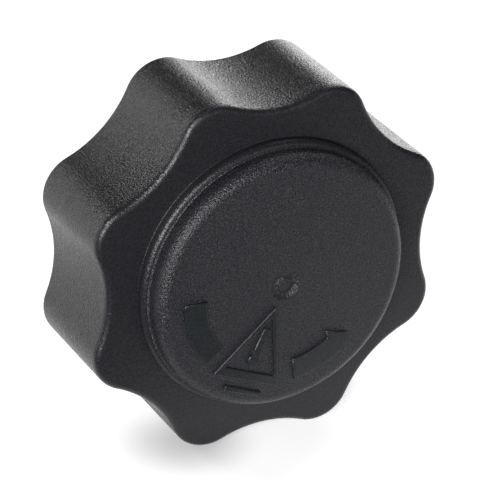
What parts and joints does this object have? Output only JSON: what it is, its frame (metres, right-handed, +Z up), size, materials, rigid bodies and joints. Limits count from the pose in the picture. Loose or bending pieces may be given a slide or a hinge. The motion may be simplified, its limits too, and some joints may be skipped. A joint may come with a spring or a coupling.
{
  "type": "expansion tank cap",
  "caption": "Lobed screw cap for a coolant expansion tank, with a sealing plug and a two-way pressure and vacuum valve on a free-turning insert.",
  "frame": {"origin": "bottom centre of the cap standing on two lobes, on the surface it stands on", "axes": "+Z up, -Y out of the closed face with the relief marks, +Y out of the open side along the cap's axis, +X to the right seen from the closed face"},
  "size_m": [0.0664, 0.0384, 0.0664],
  "materials": {
    "grip_plastic": "black glass-filled nylon with a fine moulded grain",
    "insert_plastic": "black nylon, smooth moulded",
    "plate_plastic": "natural acetal, smooth moulded",
    "seal_rubber": "black moulded rubber, smooth",
    "spring_steel": "bright drawn stainless wire and strip",
    "poppet_brass": "turned brass"
  },
  "bodies": {
    "cap": {"cap_shell": "grip_plastic"},
    "insert": {"valve_pot": "insert_plastic", "pot_cover": "insert_plastic", "neck_oring": "seal_rubber", "pressure_spring": "spring_steel"},
    "pressure_piston": {"pressure_plate": "plate_plastic", "pressure_seal": "seal_rubber", "vacuum_spring": "spring_steel"},
    "vacuum_poppet": {"vacuum_valve": "poppet_brass", "vacuum_clip": "spring_steel"}
  },
  "joints": [
    {"name": "insert_turn", "type": "hinge", "parent": "cap", "child": "insert", "pos_m": [0, 0, 0.0332], "axis": [0, 1, 0], "continuous": true},
    {"name": "pressure_lift", "type": "slide", "parent": "insert", "child": "pressure_piston", "axis": [0, -1, 0], "range_m": [0, 0.0025], "stiffness_N_per_m": 4860, "springref_m": -0.007, "deforming": ["pressure_spring"]},
    {"name": "vacuum_open", "type": "slide", "parent": "pressure_piston", "child": "vacuum_poppet", "axis": [0, 1, 0], "range_m": [0, 0.0012], "stiffness_N_per_m": 360, "springref_m": -0.001, "deforming": ["vacuum_spring"]}
  ]
}
